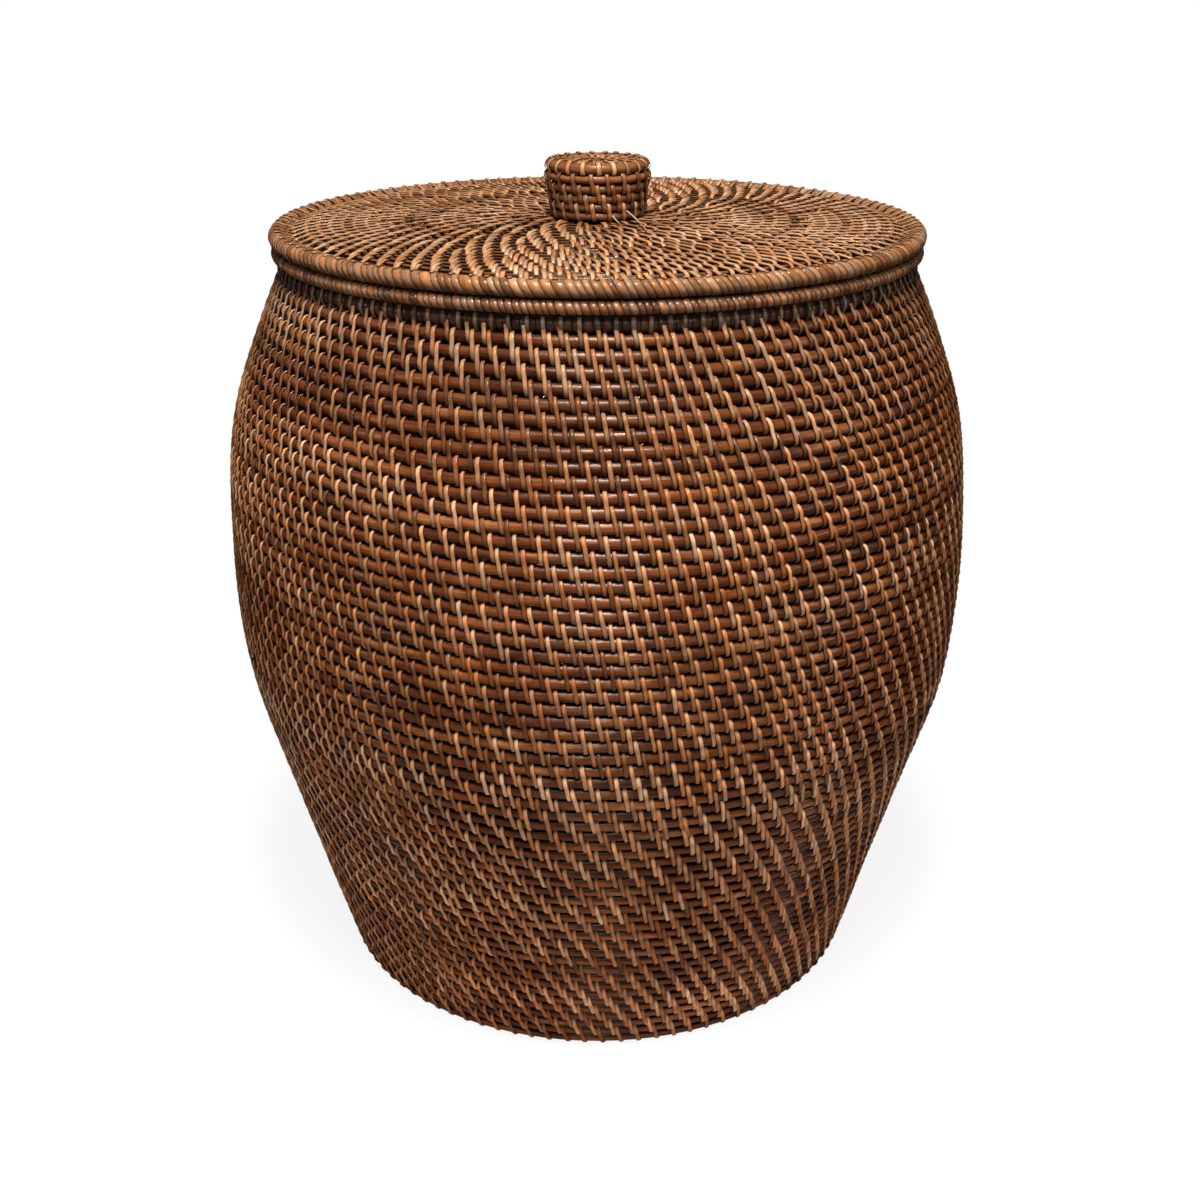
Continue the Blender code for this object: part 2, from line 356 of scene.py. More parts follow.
def stitchTree():
    # one strip of peel over two canes, set at every seed point
    sizes = {
        "Row pitch": 8.3 * mm,
        "Cane radius": 3.7 * mm,
        "Peel width": 2.9 * mm,
        "Peel thickness": 1.1 * mm,
        "Dip": 0.4 * mm,
        "Wrap angle": 1.3,
        "Head": 0.1,  # how much broader the upper end is than the middle, and the lower end narrower
        "Squareness": 0.7,
        "Tip loss": 0.12,  # how much narrower the very tip of the upper end is
        "Path points": 9,
        "Sides": 6,
    }
    tree, given = newTree("peel stitches", sizes)
    last = less(given["Path points"], 1.0)
    share = calc("DIVIDE", result("GeometryNodeInputIndex"), last)
    reach = timesPlus(share, 2.0, -1.0)
    twice = times(calc("ABSOLUTE", reach), 2.0)
    between = calc("MINIMUM", twice, 1.0)
    wrap = times(calc("MAXIMUM", less(twice, 1.0), 0.0), given["Wrap angle"])
    bend = timesPlus(given["Peel thickness"], 0.5, given["Cane radius"])
    run = times(between, times(given["Row pitch"], 0.5))
    run = timesPlus(bend, calc("SINE", wrap), run)
    run = times(run, calc("SIGN", reach))
    sag = times(given["Dip"], less(times(between, between), 1.0))
    fall = timesPlus(bend, less(calc("COSINE", wrap), 1.0), sag)
    path = setAt(rail(given["Path points"]), vector(0.0, run, fall))
    tip = calc("POWER", calc("MAXIMUM", reach, 0.0), 4.0)
    taper = timesPlus(tip, times(given["Tip loss"], -1.0), 1.0)
    taper = times(taper, timesPlus(reach, given["Head"], 1.0))
    path = stored(path, "along", reach)
    ring = peelSection(given["Sides"], "X", peelSize(given), given["Squareness"])
    setAtSeeds(given, swept(path, ring, taper))
    return tree


def setAtSeeds(given, strip):
    turned = result("FunctionNodeEulerToRotation", {0: named("turn")})
    inputs = {"Points": given["Geometry"], "Instance": strip, "Rotation": turned, "Scale": named("size")}
    placed = result("GeometryNodeInstanceOnPoints", inputs)
    closeTree(placed, given["Material"])


def wrapTree():
    # one turn of peel round a hoop, set at every seed point
    sizes = {"Hoop radius": 5.5 * mm, "Peel thickness": 1.2 * mm, "Squareness": 0.5}
    tree, given = newTree("hoop winding", {**sizes, "Segments": 16, "Sides": 8})
    core = timesPlus(given["Peel thickness"], -0.5, given["Hoop radius"])
    lap = timesPlus(put("GeometryNodeSplineParameter").outputs["Factor"], 2.0, -1.0)
    path = stored(circle(given["Segments"], core), "along", lap)
    half = times(given["Peel thickness"], 0.5)
    ring = peelSection(given["Sides"], "Y", vector(half, 0.5, 1.0), given["Squareness"])
    band = result("GeometryNodeCurveToMesh", {"Curve": path, "Profile Curve": ring})
    place = split(position())
    back = [times(place[axis], -1.0) for axis in "ZX"]
    setAtSeeds(given, setAt(band, vector(back[0], place["Y"], back[1])))
    return tree


def tailTree():
    # a loose end of peel along the line of the seed mesh, thinning out towards its end
    sizes = {"Peel width": 1.8 * mm, "Peel thickness": 0.8 * mm, "Thinning": 0.55, "Tone": 0.85, "Sides": 8}
    tree, given = newTree("loose tail", sizes)
    path = result("GeometryNodeMeshToCurve", {"Mesh": given["Geometry"]})
    path = result("GeometryNodeSetCurveNormal", {"Curve": path}, mode="Z_UP")
    share = put("GeometryNodeSplineParameter").outputs["Factor"]
    path = stored(path, "along", timesPlus(share, 1.6, -0.8))
    ring = peelSection(given["Sides"], "X", peelSize(given))
    girth = timesPlus(share, times(given["Thinning"], -1.0), 1.0)
    closeTree(stored(swept(path, ring, girth), "tone", given["Tone"]), given["Material"])
    return tree


caneNodes, peelNodes, windingNodes, tailNodes = caneTree(), stitchTree(), wrapTree(), tailTree()


def seatOn(place, run, azimuth, lean, inside=False):
    # place and turn of a strip whose length follows run, a direction in (radius, height), at an azimuth
    east = (math.cos(azimuth), math.sin(azimuth), 0.0)
    north = (run[0] * math.sin(azimuth), -run[0] * math.cos(azimuth), run[1])
    out = (run[1] * math.sin(azimuth), -run[1] * math.cos(azimuth), -run[0])
    if inside:
        east, out = [-value for value in east], [-value for value in out]
    turn = Matrix((east, north, out)).transposed() @ Matrix.Rotation(lean, 3, "Z")
    spot = (place[0] * math.sin(azimuth), -place[0] * math.cos(azimuth), place[1])
    return spot, tuple(turn.to_euler())


def seedMesh(name, seeds):
    # seeds are (spot, turn, size, tone)
    mesh = bpy.data.meshes.new(name + " seeds")
    mesh.from_pydata([seed[0] for seed in seeds], [], [])
    vectors = ("FLOAT_VECTOR", "vector")
    layers = (("turn", *vectors), ("size", *vectors), ("tone", "FLOAT", "value"))
    for column, (title, kind, field) in enumerate(layers, 1):
        layer = mesh.attributes.new(title, kind, "POINT")
        layer.data.foreach_set(field, numpy.array([seed[column] for seed in seeds]).ravel())
    return mesh


# Sewing, the same for all coils
sewing = {
    "leastRadius": 3 * mm,  # stitches come no closer together than here
    "passedOver": 0.72,  # a stitch below is passed over if it comes sooner than this share of the pitch
    "halved": 1.4,  # and the step is halved if it would come later than this share
    "strandTone": 0.62,  # what a stitch has of its strand's tone, and what of its own
    "ownTone": 0.38,
    "leastGirth": 0.6,  # cane that tapers off below this is not sewn
    "leastSpan": 0.5,  # nor is it where two rows lie closer than this share of their pitch
    "footHeight": 250 * mm,  # below this, footLean and footWidth begin
    "widths": (0.9, 1.08),
    "thicknesses": (0.92, 1.1),
}


def sewnTurns(centres, style, chance):
    # each stitch is set beside the one under it, with one more or one less where the round grows or shrinks
    turns = [1.0]
    below = 0
    while turns[-1] < len(centres) - 1:
        radius = max(strandAt(centres, turns[-1])[0][0], sewing["leastRadius"])
        step = style["pitch"] / (2 * math.pi * radius)
        shift = style["shift"] / (2 * math.pi * radius)
        soonest = turns[-1] + sewing["passedOver"] * step
        place = turns[-1] + step
        if place > 2.0 - shift:
            while turns[below] + 1 - shift < soonest and below < len(turns) - 1:
                below += 1
            beside = turns[below] + 1 - shift
            if beside > turns[-1] + sewing["halved"] * step:
                beside = (turns[-1] + beside) / 2
            place = beside + style["evening"] * (place - beside)
        turns.append(place + step * chance.gauss(0.0, style["jitter"]))
    return turns[1:]


def stitchSeeds(centres, style, chance, inside=False, offset=0.0):
    seeds = []
    strand = 0.5
    for turn in sewnTurns(centres, style, chance):
        upper, girthAbove = strandAt(centres, turn + offset)
        lower, girthBelow = strandAt(centres, turn + offset - 1)
        span = numpy.linalg.norm(upper - lower)
        if chance.random() < style["newStrand"]:
            strand = chance.random() ** style["paleness"]
        tone = sewing["strandTone"] * strand + sewing["ownTone"] * chance.random()
        tone = min(1.0, max(0.0, tone))
        short = span < sewing["leastSpan"] * style["rowPitch"]
        if short or min(girthAbove, girthBelow) < sewing["leastGirth"]:
            continue
        run = (upper - lower) / span
        stand = style["caneRadius"] + style["thickness"] / 2
        out = numpy.array((run[1], -run[0])) * (-stand if inside else stand)
        length = span / style["rowPitch"]
        if turn > len(centres) - 3 and not inside:
            out = out - run * span * (1 - style["lastLength"]) / 2
            length *= style["lastLength"]
        azimuth = spiral["seam"] + 2 * math.pi * (turn + offset)
        low = max(0.0, 1 - lower[1] / sewing["footHeight"])
        lean = style["lean"] + style["footLean"] * low + chance.gauss(0.0, style["leanJitter"])
        spot, turned = seatOn((upper + lower) / 2 + out, run, azimuth, lean, inside)
        width = chance.uniform(*sewing["widths"]) * (1 + style["footWidth"] * low)
        seeds.append((spot, turned, (width, length, chance.uniform(*sewing["thicknesses"])), tone))
    return seeds


def stitches(name, seeds, material, style, coarse=False):
    sizes = {
        "Row pitch": style["rowPitch"],
        "Cane radius": style["caneRadius"],
        "Peel width": style["width"],
        "Peel thickness": style["thickness"],
        "Dip": style["dip"],
        "Wrap angle": style["wrap"],
        "Head": style["head"],
        "Path points": 5 if coarse else 9,
        "Sides": 4 if coarse else 6,
    }
    return grow(name, seedMesh(name, seeds), peelNodes, {**sizes, "Material": material})


# Materials
def newMaterial(name):
    material = bpy.data.materials.new(name)
    material.use_nodes = True
    bench["tree"] = material.node_tree
    return material, material.node_tree.nodes["Principled BSDF"]


def attribute(name, output="Fac"):
    return put("ShaderNodeAttribute", attribute_name=name).outputs[output]


def objectPlace():
    return split(put("ShaderNodeTexCoord").outputs["Object"])


def noise(place, detail, roughness=0.5):
    inputs = {"Vector": place, "Scale": 1.0, "Detail": detail, "Roughness": roughness}
    return result("ShaderNodeTexNoise", inputs)


def ramp(value, stops):
    node = put("ShaderNodeValToRGB", {"Fac": value})
    bar = node.color_ramp.elements
    while len(bar) < len(stops):
        bar.new(0.5)
    for stop, (place, *colour) in zip(bar, stops):
        stop.position = place
        stop.color = (*colour, 1.0)
    return node.outputs["Color"]


def mixed(factor, first, second, blend="MIX"):
    inputs = {"Factor": factor, 6: first, 7: second}
    return put("ShaderNodeMix", inputs, data_type="RGBA", blend_type=blend).outputs[2]


def tinted(colour, share, low, high):
    return mixed(1.0, colour, mixed(share, low, high), "MULTIPLY")


def darkened(colour, factor):
    return mixed(1.0, colour, vector(factor, factor, factor), "MULTIPLY")


def zoned(colour, style):
    # broad zones, a few rows high, in which cane and peel are darker and redder or paler and greyer;
    # the wall also has painted shade that deepens towards the neck, under the rim
    place = objectPlace()
    parts = [times(place[axis], scale) for axis, scale in zip("XYZ", style["zoneScale"])]
    zone = spread(noise(vector(*parts), 2.0), *style["zoneRange"])
    colour = tinted(colour, zone, style["zoneLow"], style["zoneHigh"])
    shade = spread(place["Z"], *style["neckHeights"], 1.0, style["neckShade"], "SMOOTHSTEP")
    return darkened(colour, shade)


def finished(shader, colour, fibre, style):
    # what cane and peel share: the zones, the painted shade towards the neck and the grain in the colour,
    # the gloss and the relief of the fibres
    colour = zoned(colour, style)
    grain = spread(fibre, *style["fibreRange"], 1 - style["fibre"], 1 + style["fibre"])
    link(darkened(colour, grain), shader.inputs["Base Color"])
    smooth, rough = style["roughness"] - style["smoother"], style["roughness"] + style["rougher"]
    link(spread(fibre, 0.0, 1.0, smooth, rough), shader.inputs["Roughness"])
    relief = {"Height": fibre, "Strength": style["relief"], "Distance": style["reliefDepth"]}
    link(result("ShaderNodeBump", relief), shader.inputs["Normal"])
    shader.inputs["Specular IOR Level"].default_value = style["specular"]
    shader.inputs["Specular Tint"].default_value = (*style["sheen"], 1.0)


def caneMaterial(name, stops, style):
    # varnished round cane: long mottled stretches, fine fibres lengthwise, painted shade in the grooves
    # where the rows meet
    material, shader = newMaterial(name)
    ring = attribute("around", "Vector")
    around = split(ring)
    along = attribute("along")

    def onCane(across, lengthwise):
        sides = [times(around[axis], across) for axis in "XY"]
        return vector(*sides, times(along, lengthwise))

    mottle = noise(onCane(0.25, 24.0), 2.0)
    patch = noise(onCane(0.02, 4.0), 1.0)
    fibre = noise(onCane(5.5, 60.0), 4.0, 0.6)
    tone = calc("ADD", times(mottle, 0.6), times(patch, 0.4))
    colour = ramp(spread(tone, *style["tones"]), stops)
    hue = spread(noise(onCane(0.02, 1.7), 1.0), *style["hueRange"])
    colour = tinted(colour, hue, style["warm"], style["pale"])
    side = vectorCalc("DOT_PRODUCT", ring, attribute("beside", "Vector"), output="Value")
    height = objectPlace()["Z"]
    pairs = zip(style["footShadeAbove"], style["above"])
    above = [spread(height, *style["footHeights"], foot, top) for foot, top in pairs]
    # painted shade in the grooves above and below each row
    for ends, turn in ((above, 1.0), (style["below"], -1.0)):
        reach = times(side, turn)
        colour = darkened(colour, spread(reach, *ends, 1.0, style["groove"], "SMOOTHSTEP"))
    finished(shader, colour, fibre, style)
    return material


def peelMaterial(name, stops, style):
    # split peel: each strip has its own tone and fibres lengthwise; painted shade darkens its edges and
    # tips, its lower end has painted shade at the top of the wall and painted light at the foot, its upper
    # end has a painted highlight, and hoop windings have painted shade on their underside
    material, shader = newMaterial(name)
    tone = attribute("tone")
    along, across = attribute("along"), attribute("across")
    own = times(tone, style["ownPlace"])

    def onPeel(sideways, lengthwise):
        sides = times(across, sideways), times(along, lengthwise)
        return vector(*sides, own)

    blotch = noise(onPeel(0.4, 1.3), 2.0)
    fibre = noise(onPeel(3.2, 0.9), 4.0, 0.65)
    blotched = timesPlus(less(blotch, 0.5), style["blotch"], tone)
    hue = calc("FRACT", times(tone, style["ownHue"]))
    colour = tinted(ramp(blotched, stops), hue, style["warm"], style["pale"])
    # painted shade along the strip's edges, where it meets the cane and its neighbours, and at its very
    # tips, where it dives into the grooves
    for reach, part in ((across, "edge"), (along, "tip")):
        worn = calc("POWER", calc("ABSOLUTE", reach), style[part + "Sharpness"])
        colour = darkened(colour, timesPlus(worn, style[part] - 1, 1.0))
    # the lower end of each strip: painted shade at the top of the wall, painted light at its foot
    tail = spread(objectPlace()["Z"], *style["footHeights"], style["footTailLight"], style["tail"])
    colour = darkened(colour, spread(along, -1.0, 0.0, tail, 1.0, "SMOOTHSTEP"))
    # painted highlight on the upper end of each stitch; on hoop windings, painted shade on the underside
    colour = darkened(colour, spread(along, *style["paintedLightShadeAt"], 1.0, style["paintedLightShade"], "SMOOTHSTEP"))
    finished(shader, colour, fibre, style)
    return material


stops = {  # place, red, green, blue
    "wallCane": (
        (0.0, 0.034, 0.012, 0.007),
        (0.25, 0.060, 0.019, 0.008),
        (0.5, 0.105, 0.031, 0.010),
        (0.75, 0.190, 0.062, 0.019),
        (1.0, 0.310, 0.120, 0.040),
    ),
    "wallPeel": (
        (0.0, 0.042, 0.018, 0.010),
        (0.3, 0.130, 0.045, 0.016),
        (0.65, 0.275, 0.115, 0.046),
        (1.0, 0.460, 0.255, 0.135),
    ),
    # the neck winding's peel: its dark stops stand partly for the shade under the hoop, partly for its own
    # darker stain
    "neckPeel": (
        (0.0, 0.028, 0.013, 0.008),
        (0.5, 0.060, 0.028, 0.018),
        (1.0, 0.110, 0.055, 0.034),
    ),
    "tiePeel": (
        (0.0, 0.060, 0.033, 0.021),
        (1.0, 0.200, 0.124, 0.080),
    ),
    "rimPeel": (
        (0.0, 0.054, 0.020, 0.010),
        (0.4, 0.175, 0.072, 0.035),
        (0.75, 0.315, 0.148, 0.072),
        (1.0, 0.430, 0.240, 0.125),
    ),
    "lidCane": (
        (0.0, 0.062, 0.022, 0.010),
        (0.4, 0.145, 0.056, 0.023),
        (0.75, 0.240, 0.106, 0.046),
        (1.0, 0.330, 0.165, 0.078),
    ),
    "knobCane": (
        (0.0, 0.068, 0.026, 0.012),
        (0.4, 0.140, 0.053, 0.022),
        (0.75, 0.225, 0.092, 0.038),
        (1.0, 0.330, 0.155, 0.070),
    ),
    "lidPeel": (
        (0.0, 0.110, 0.038, 0.014),
        (0.4, 0.255, 0.109, 0.045),
        (0.75, 0.380, 0.190, 0.089),
        (1.0, 0.490, 0.280, 0.150),
    ),
}
gloss = {
    "roughness": 0.18,
    "smoother": 0.08,  # how far the fibres take the roughness down
    "rougher": 0.14,  # and up
    "specular": 0.24,
    "sheen": (1.0, 0.84, 0.68),
    "fibreRange": (0.3, 0.7),
    "relief": 0.6,
    "reliefDepth": 0.25 * mm,
    "warm": (1.1, 0.95, 0.8, 1.0),
    "pale": (0.9, 1.03, 1.2, 1.0),
    "zoneScale": (5.0, 5.0, 17.0),
    "zoneRange": (0.36, 0.64),
    "zoneLow": (0.93, 0.9, 0.86, 1.0),
    "zoneHigh": (1.06, 1.08, 1.1, 1.0),
    "neckHeights": (0.4, 0.47),  # in metres, as are footHeights
    "neckShade": 1.0,
}
onWall = {"zoneLow": (0.82, 0.72, 0.64, 1.0), "zoneHigh": (1.14, 1.2, 1.24, 1.0), "neckShade": 0.7}
cane = {
    **gloss,
    "tones": (0.32, 0.68),
    "hueRange": (0.35, 0.65),
    "fibre": 0.45,
    # painted shade in the grooves between rows: the cane's colour darkens towards its upper and lower sides
    # over these ranges
    "groove": 0.02,
    "above": (0.6, 0.95),
    "below": (0.6, 0.95),
    "footShadeAbove": (0.35, 0.82),  # what takes the place of above at the foot of the wall, where the painted shade above each row reaches further
    "footHeights": (0.1, 0.32),
}
peel = {
    **gloss,
    "ownPlace": 371.0,  # takes each strip to its own place in the noise
    "ownHue": 91.7,  # and to its own hue
    "blotch": 0.4,
    "fibre": 0.25,
    # painted shade at the strip's edges and tips
    "edge": 0.1,
    "edgeSharpness": 4.0,
    "tip": 0.15,
    "tipSharpness": 30.0,
    # painted highlight on the upper end of each stitch
    "paintedLightShade": 1.3,
    "paintedLightShadeAt": (0.2, 0.7),
    "tail": 0.85,  # painted shade on the lower end of each stitch, at the top of the wall
    "footTailLight": 1.5,  # painted light on the lower end of each stitch, at its foot
    "footHeights": (0.1, 0.3),
}
# hoop windings: painted shade at the edges where the turns meet, and on the underside of each turn
winding = {**peel, "tail": 1.0, "tip": 1.0, "paintedLightShadeAt": (-0.05, 0.35), "edge": 0.0, "edgeSharpness": 3.5}
# ties: a painted highlight on their heads
onTies = {"paintedLightShade": 2.0, "paintedLightShadeAt": (0.4, 0.9)}
# rim hoop: painted shade on the underside of each turn
onRim = {"paintedLightShade": 0.6, "specular": 0.6, "roughness": 0.14}
# lid stitches: a slight painted highlight on their heads, and painted shade along their edges
onLid = {"tail": 1.0, "paintedLightShade": 1.1, "tip": 0.4, "edge": 0.0, "edgeSharpness": 2.6}
# lid hoop: painted shade on the underside of each turn, and darker zones
onHoop = {"paintedLightShade": 0.25, "zoneLow": (0.78, 0.75, 0.72, 1.0), "zoneHigh": (0.9, 0.92, 0.94, 1.0)}
wallCaneFinish = caneMaterial("wallCane", stops["wallCane"], {**cane, **onWall})
wallPeelFinish = peelMaterial("wallPeel", stops["wallPeel"], {**peel, **onWall})
neckPeelFinish = peelMaterial("neckPeel", stops["neckPeel"], {**winding, "paintedLightShade": 1.0})
tiePeelFinish = peelMaterial("tiePeel", stops["tiePeel"], {**peel, **onTies})
rimPeelFinish = peelMaterial("rimPeel", stops["rimPeel"], {**winding, **onRim})
# on the lid the painted shade covers more of the cane's sides, for dark holes between the stitches
lidCaneFinish = caneMaterial("lidCane", stops["lidCane"], {**cane, "above": (0.0, 0.6), "below": (0.0, 0.6)})
knobCaneFinish = caneMaterial("knobCane", stops["knobCane"], cane)
lidPeelFinish = peelMaterial("lidPeel", stops["lidPeel"], {**peel, **onLid})
lidHoopFinish = peelMaterial("lidHoopPeel", stops["lidPeel"], {**winding, **onHoop})
print("materials ready")

sway = {
    "from": 0.012,  # heights in metres between which the rows wave
    "to": 0.488,
    "ease": 0.05,
    "leastRadius": 0.05,
    "lift": ((0.35, 3, 31, 0.0), (0.25, 8, -47, 1.0)),  # (mm, waves round, turn with height, start)
    "push": ((0.45, 4, -22, 2.0), (0.25, 11, 60, 0.0)),
    "floor": 0.1 * mm,  # peel under the foot is pressed flat
}


def settle(piece):
    # hand work is never quite even: the wall's rows wave a little, but not at the foot or the rim
    coords = pointsOf(piece.data)
    height = coords[:, 2]
    azimuth = numpy.arctan2(coords[:, 0], -coords[:, 1])
    rise = numpy.clip((height - sway["from"]) / sway["ease"], 0, 1)
    hold = rise * numpy.clip((sway["to"] - height) / sway["ease"], 0, 1) * mm

    def waves(rule):
        return sum(size * numpy.sin(laps * azimuth + up * height + start) for size, laps, up, start in rule)

    lift, push = waves(sway["lift"]), waves(sway["push"])
    grown = 1 + hold * push / numpy.maximum(numpy.hypot(coords[:, 0], coords[:, 1]), sway["leastRadius"])
    coords[:, 0] *= grown
    coords[:, 1] *= grown
    coords[:, 2] = numpy.maximum(height + hold * lift, sway["floor"])
    movePoints(piece.data, coords)
    return piece


# Wall
wall = {
    "caneRadius": 3.9 * mm,
    "rowPitch": 8.3 * mm,
    "pitch": 12.1 * mm,
    "shift": 4.4 * mm,
    "width": 2.85 * mm,
    "footWidth": 0.14,  # how much wider the stitches are at the foot
    "thickness": 1.15 * mm,
    "dip": 0.4 * mm,
    "wrap": 1.35,
    "head": 0.04,
    "lean": math.radians(10),
    "footLean": math.radians(6),  # how much more the stitches lean at the foot
    "leanJitter": math.radians(1.5),
    "jitter": 0.025,
    "evening": 0.12,
    "newStrand": 0.03,
    "paleness": 0.55,  # under 1, most strands are pale
    "lastLength": 0.78,
}
bands = {"outside": 5, "inside": 2}  # how many pieces the wall's stitches are kept in
innerOffset = 0.01  # how far round the inner stitches are set from the outer ones, in turns
neckWork = {
    "shift": (0.2 * mm, 0.5 * mm),
    "thicker": 1.1 * mm,  # how much the winding stands out round the cane
    "half": 0.4 * mm,  # half the height between the two ends of a tie
    "sunk": 0.2 * mm,
}


def makeWall():
    nodes = ["foot_coil"] + [f"wall_coil_{number}" for number in range(1, 9)] + ["neck_coil"]
    crests = crestLine(nodes, 1, 1)
    centres = rowCentres(crests, wall["caneRadius"] + wall["thickness"])
    chance = random.Random(7)
    cane = settle(coil("wallCane", centres, wallCaneFinish, wall["caneRadius"]))
    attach(cane, "basket")
    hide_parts(*nodes)
    seeds = stitchSeeds(centres, wall, chance)
    share = math.ceil(len(seeds) / bands["outside"])
    for band in range(bands["outside"]):
        run = seeds[band * share:(band + 1) * share]
        piece = stitches(f"wallStitches{band + 1}", run, wallPeelFinish, wall)
        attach(settle(piece), "basket")
    inner = stitchSeeds(centres, wall, chance, inside=True, offset=innerOffset)
    for half in range(bands["inside"]):
        run = inner[half * len(inner) // bands["inside"]:(half + 1) * len(inner) // bands["inside"]]
        piece = stitches(f"innerStitches{half + 1}", run, wallPeelFinish, wall, coarse=True)
        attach(settle(piece), "basket")
    neck = centres[-2] + numpy.array(neckWork["shift"])
    tube = wall["caneRadius"] + neckWork["thicker"]
    neckWinding = windOn("neckWinding", *neck, tube, neckPeelFinish, 53)
    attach(neckWinding, "basket")
    up = numpy.array((0.0, neckWork["half"]))
    rod = tube - neckWork["sunk"]
    rimTies = tieRow("rimTies", "basket", neck - up, neck + up, rod, ties["neck"], tiePeelFinish, 59)
    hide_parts("rim_ties")
    packing("rimPacking", "basket", neck, tube, "basket_hoop", neckPeelFinish)
    print(f"wall: {len(crests)} rows, {len(seeds)} stitches outside, {len(inner)} inside")


# Base
def makeBase():
    nodes = ("base_start", "base_coil_inner", "base_coil_outer")
    sunk = 0.3 * mm
    crests = crestLine(nodes, 0, -1)
    centres = rowCentres(crests, wall["caneRadius"] + sunk)
    cane = coil("baseCane", centres, wallCaneFinish, wall["caneRadius"], steps=72, sides=8)
    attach(cane, "basket")
    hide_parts(*nodes)
    chance = random.Random(11)
    for name, inside in (("baseStitchesUnder", False), ("baseStitchesAbove", True)):
        piece = stitches(name, stitchSeeds(centres, wall, chance, inside), wallPeelFinish, wall, coarse=True)
        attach(piece, "basket")
    print(f"base: {len(crests)} rows")


# Lid
lid = {
    **wall,
    "lastLength": 1.0,
    "caneRadius": 2.9 * mm,
    "pitch": 13.0 * mm,
    "shift": 5.2 * mm,
    "lean": math.radians(14),
    "footLean": 0.0,
    "width": 3.4 * mm,
    "thickness": 1.4 * mm,
    "dip": 0.0,
    "tieInset": 0.3 * mm,  # how far in from the hoop's top the edge ties hold it
}


def makeLid():
    nodes = ["lid_start", "lid_coil_1", "lid_coil_2", "lid_coil_3", "lid_shoulder_coil"]
    crests = crestLine(nodes, 0, 1)[::-1]
    rod = lid["caneRadius"]
    centres = rowCentres(crests, rod + lid["thickness"])
    cane = coil("lidCane", centres, lidCaneFinish, rod, steps=84)
    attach(cane, "lid")
    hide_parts(*nodes)
    chance = random.Random(23)
    seeds = stitchSeeds(centres, lid, chance)
    under = stitchSeeds(centres, lid, chance, inside=True)
    for name, run, coarse in (("lidStitches", seeds, False), ("lidStitchesUnder", under, True)):
        piece = stitches(name, run, lidPeelFinish, lid, coarse)
        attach(piece, "lid")
    print(f"lid: {len(crests)} rows, {len(seeds)} stitches on top")
    hoopRadius, hoopHeight, tube = makeHoop("lidHoop", "lid_hoop", "lid", lidCaneFinish, lidHoopFinish, 43)
    hoopTop = numpy.array((hoopRadius - lid["tieInset"], hoopHeight + tube - rod))
    tieRow("lidEdgeTies", "lid", hoopTop, centres[1], rod, ties["lidEdge"], lidPeelFinish, 61)
    packing("lidPacking", "lid", centres[1], rod, "lid_hoop", lidCaneFinish)


def makeCollar():
    # two closed rings of cane under the lid, sewn to each other outside and inside
    crests = crestLine(["lid_collar"], 1, 1)
    slack, sunk = 0.1 * mm, 0.6 * mm
    rod = numpy.diff(crests[:, 1]).min() / 2 - slack
    centres = rowCentres(crests, rod + sunk)[1:-1]
    for number, centre in enumerate(centres, 1):
        cane = caneRing(f"collarCane{number}", *centre, rod, lidCaneFinish)
        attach(cane, "lid")
        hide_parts("lid_collar")
    for number, (below, above) in enumerate(zip(centres, centres[1:]), 1):
        style, finish, phase = ties["collar"], lidPeelFinish, 0.5 * number
        tieRow(f"collarTies{number}", "lid", below, above, rod, style, finish, 70 + number, phase)
        tieRow(f"collarTiesInside{number}", "lid", above, below, rod, style, finish, 80 + number, phase)
    print(f"collar: {len(centres)} rows, cane radius {1000 * rod:.2f} mm")


# Wound hoops
hoops = {
    "basketHoop": {
        "widths": (2.6 * mm, 6.2 * mm, 3.9 * mm),
        "lean": 0.34,
        "thickness": 1.4 * mm,
        "squareness": 0.7,
    },
    "lidHoop": {
        "widths": (2.8 * mm, 7.8 * mm, 4.6 * mm),
        "lean": 0.56,
        "thickness": 1.1 * mm,
        "squareness": 0.5,
    },
    "neckWinding": {
        "widths": (3.6 * mm, 6.4 * mm, 4.8 * mm),
        "lean": 0.05,
        "thickness": 1.0 * mm,
        "squareness": 0.5,
    },
}
turns = {
    "leanJitter": 0.04,
    "overlap": 1.04,  # each turn is this much wider than its place
    "girths": (0.97, 1.02),
    "tones": (0.1, 0.9, 0.5),
    "coreDepth": 0.7,  # how much of the peel's thickness lies over the core
    "sunk": 0.2 * mm,
}


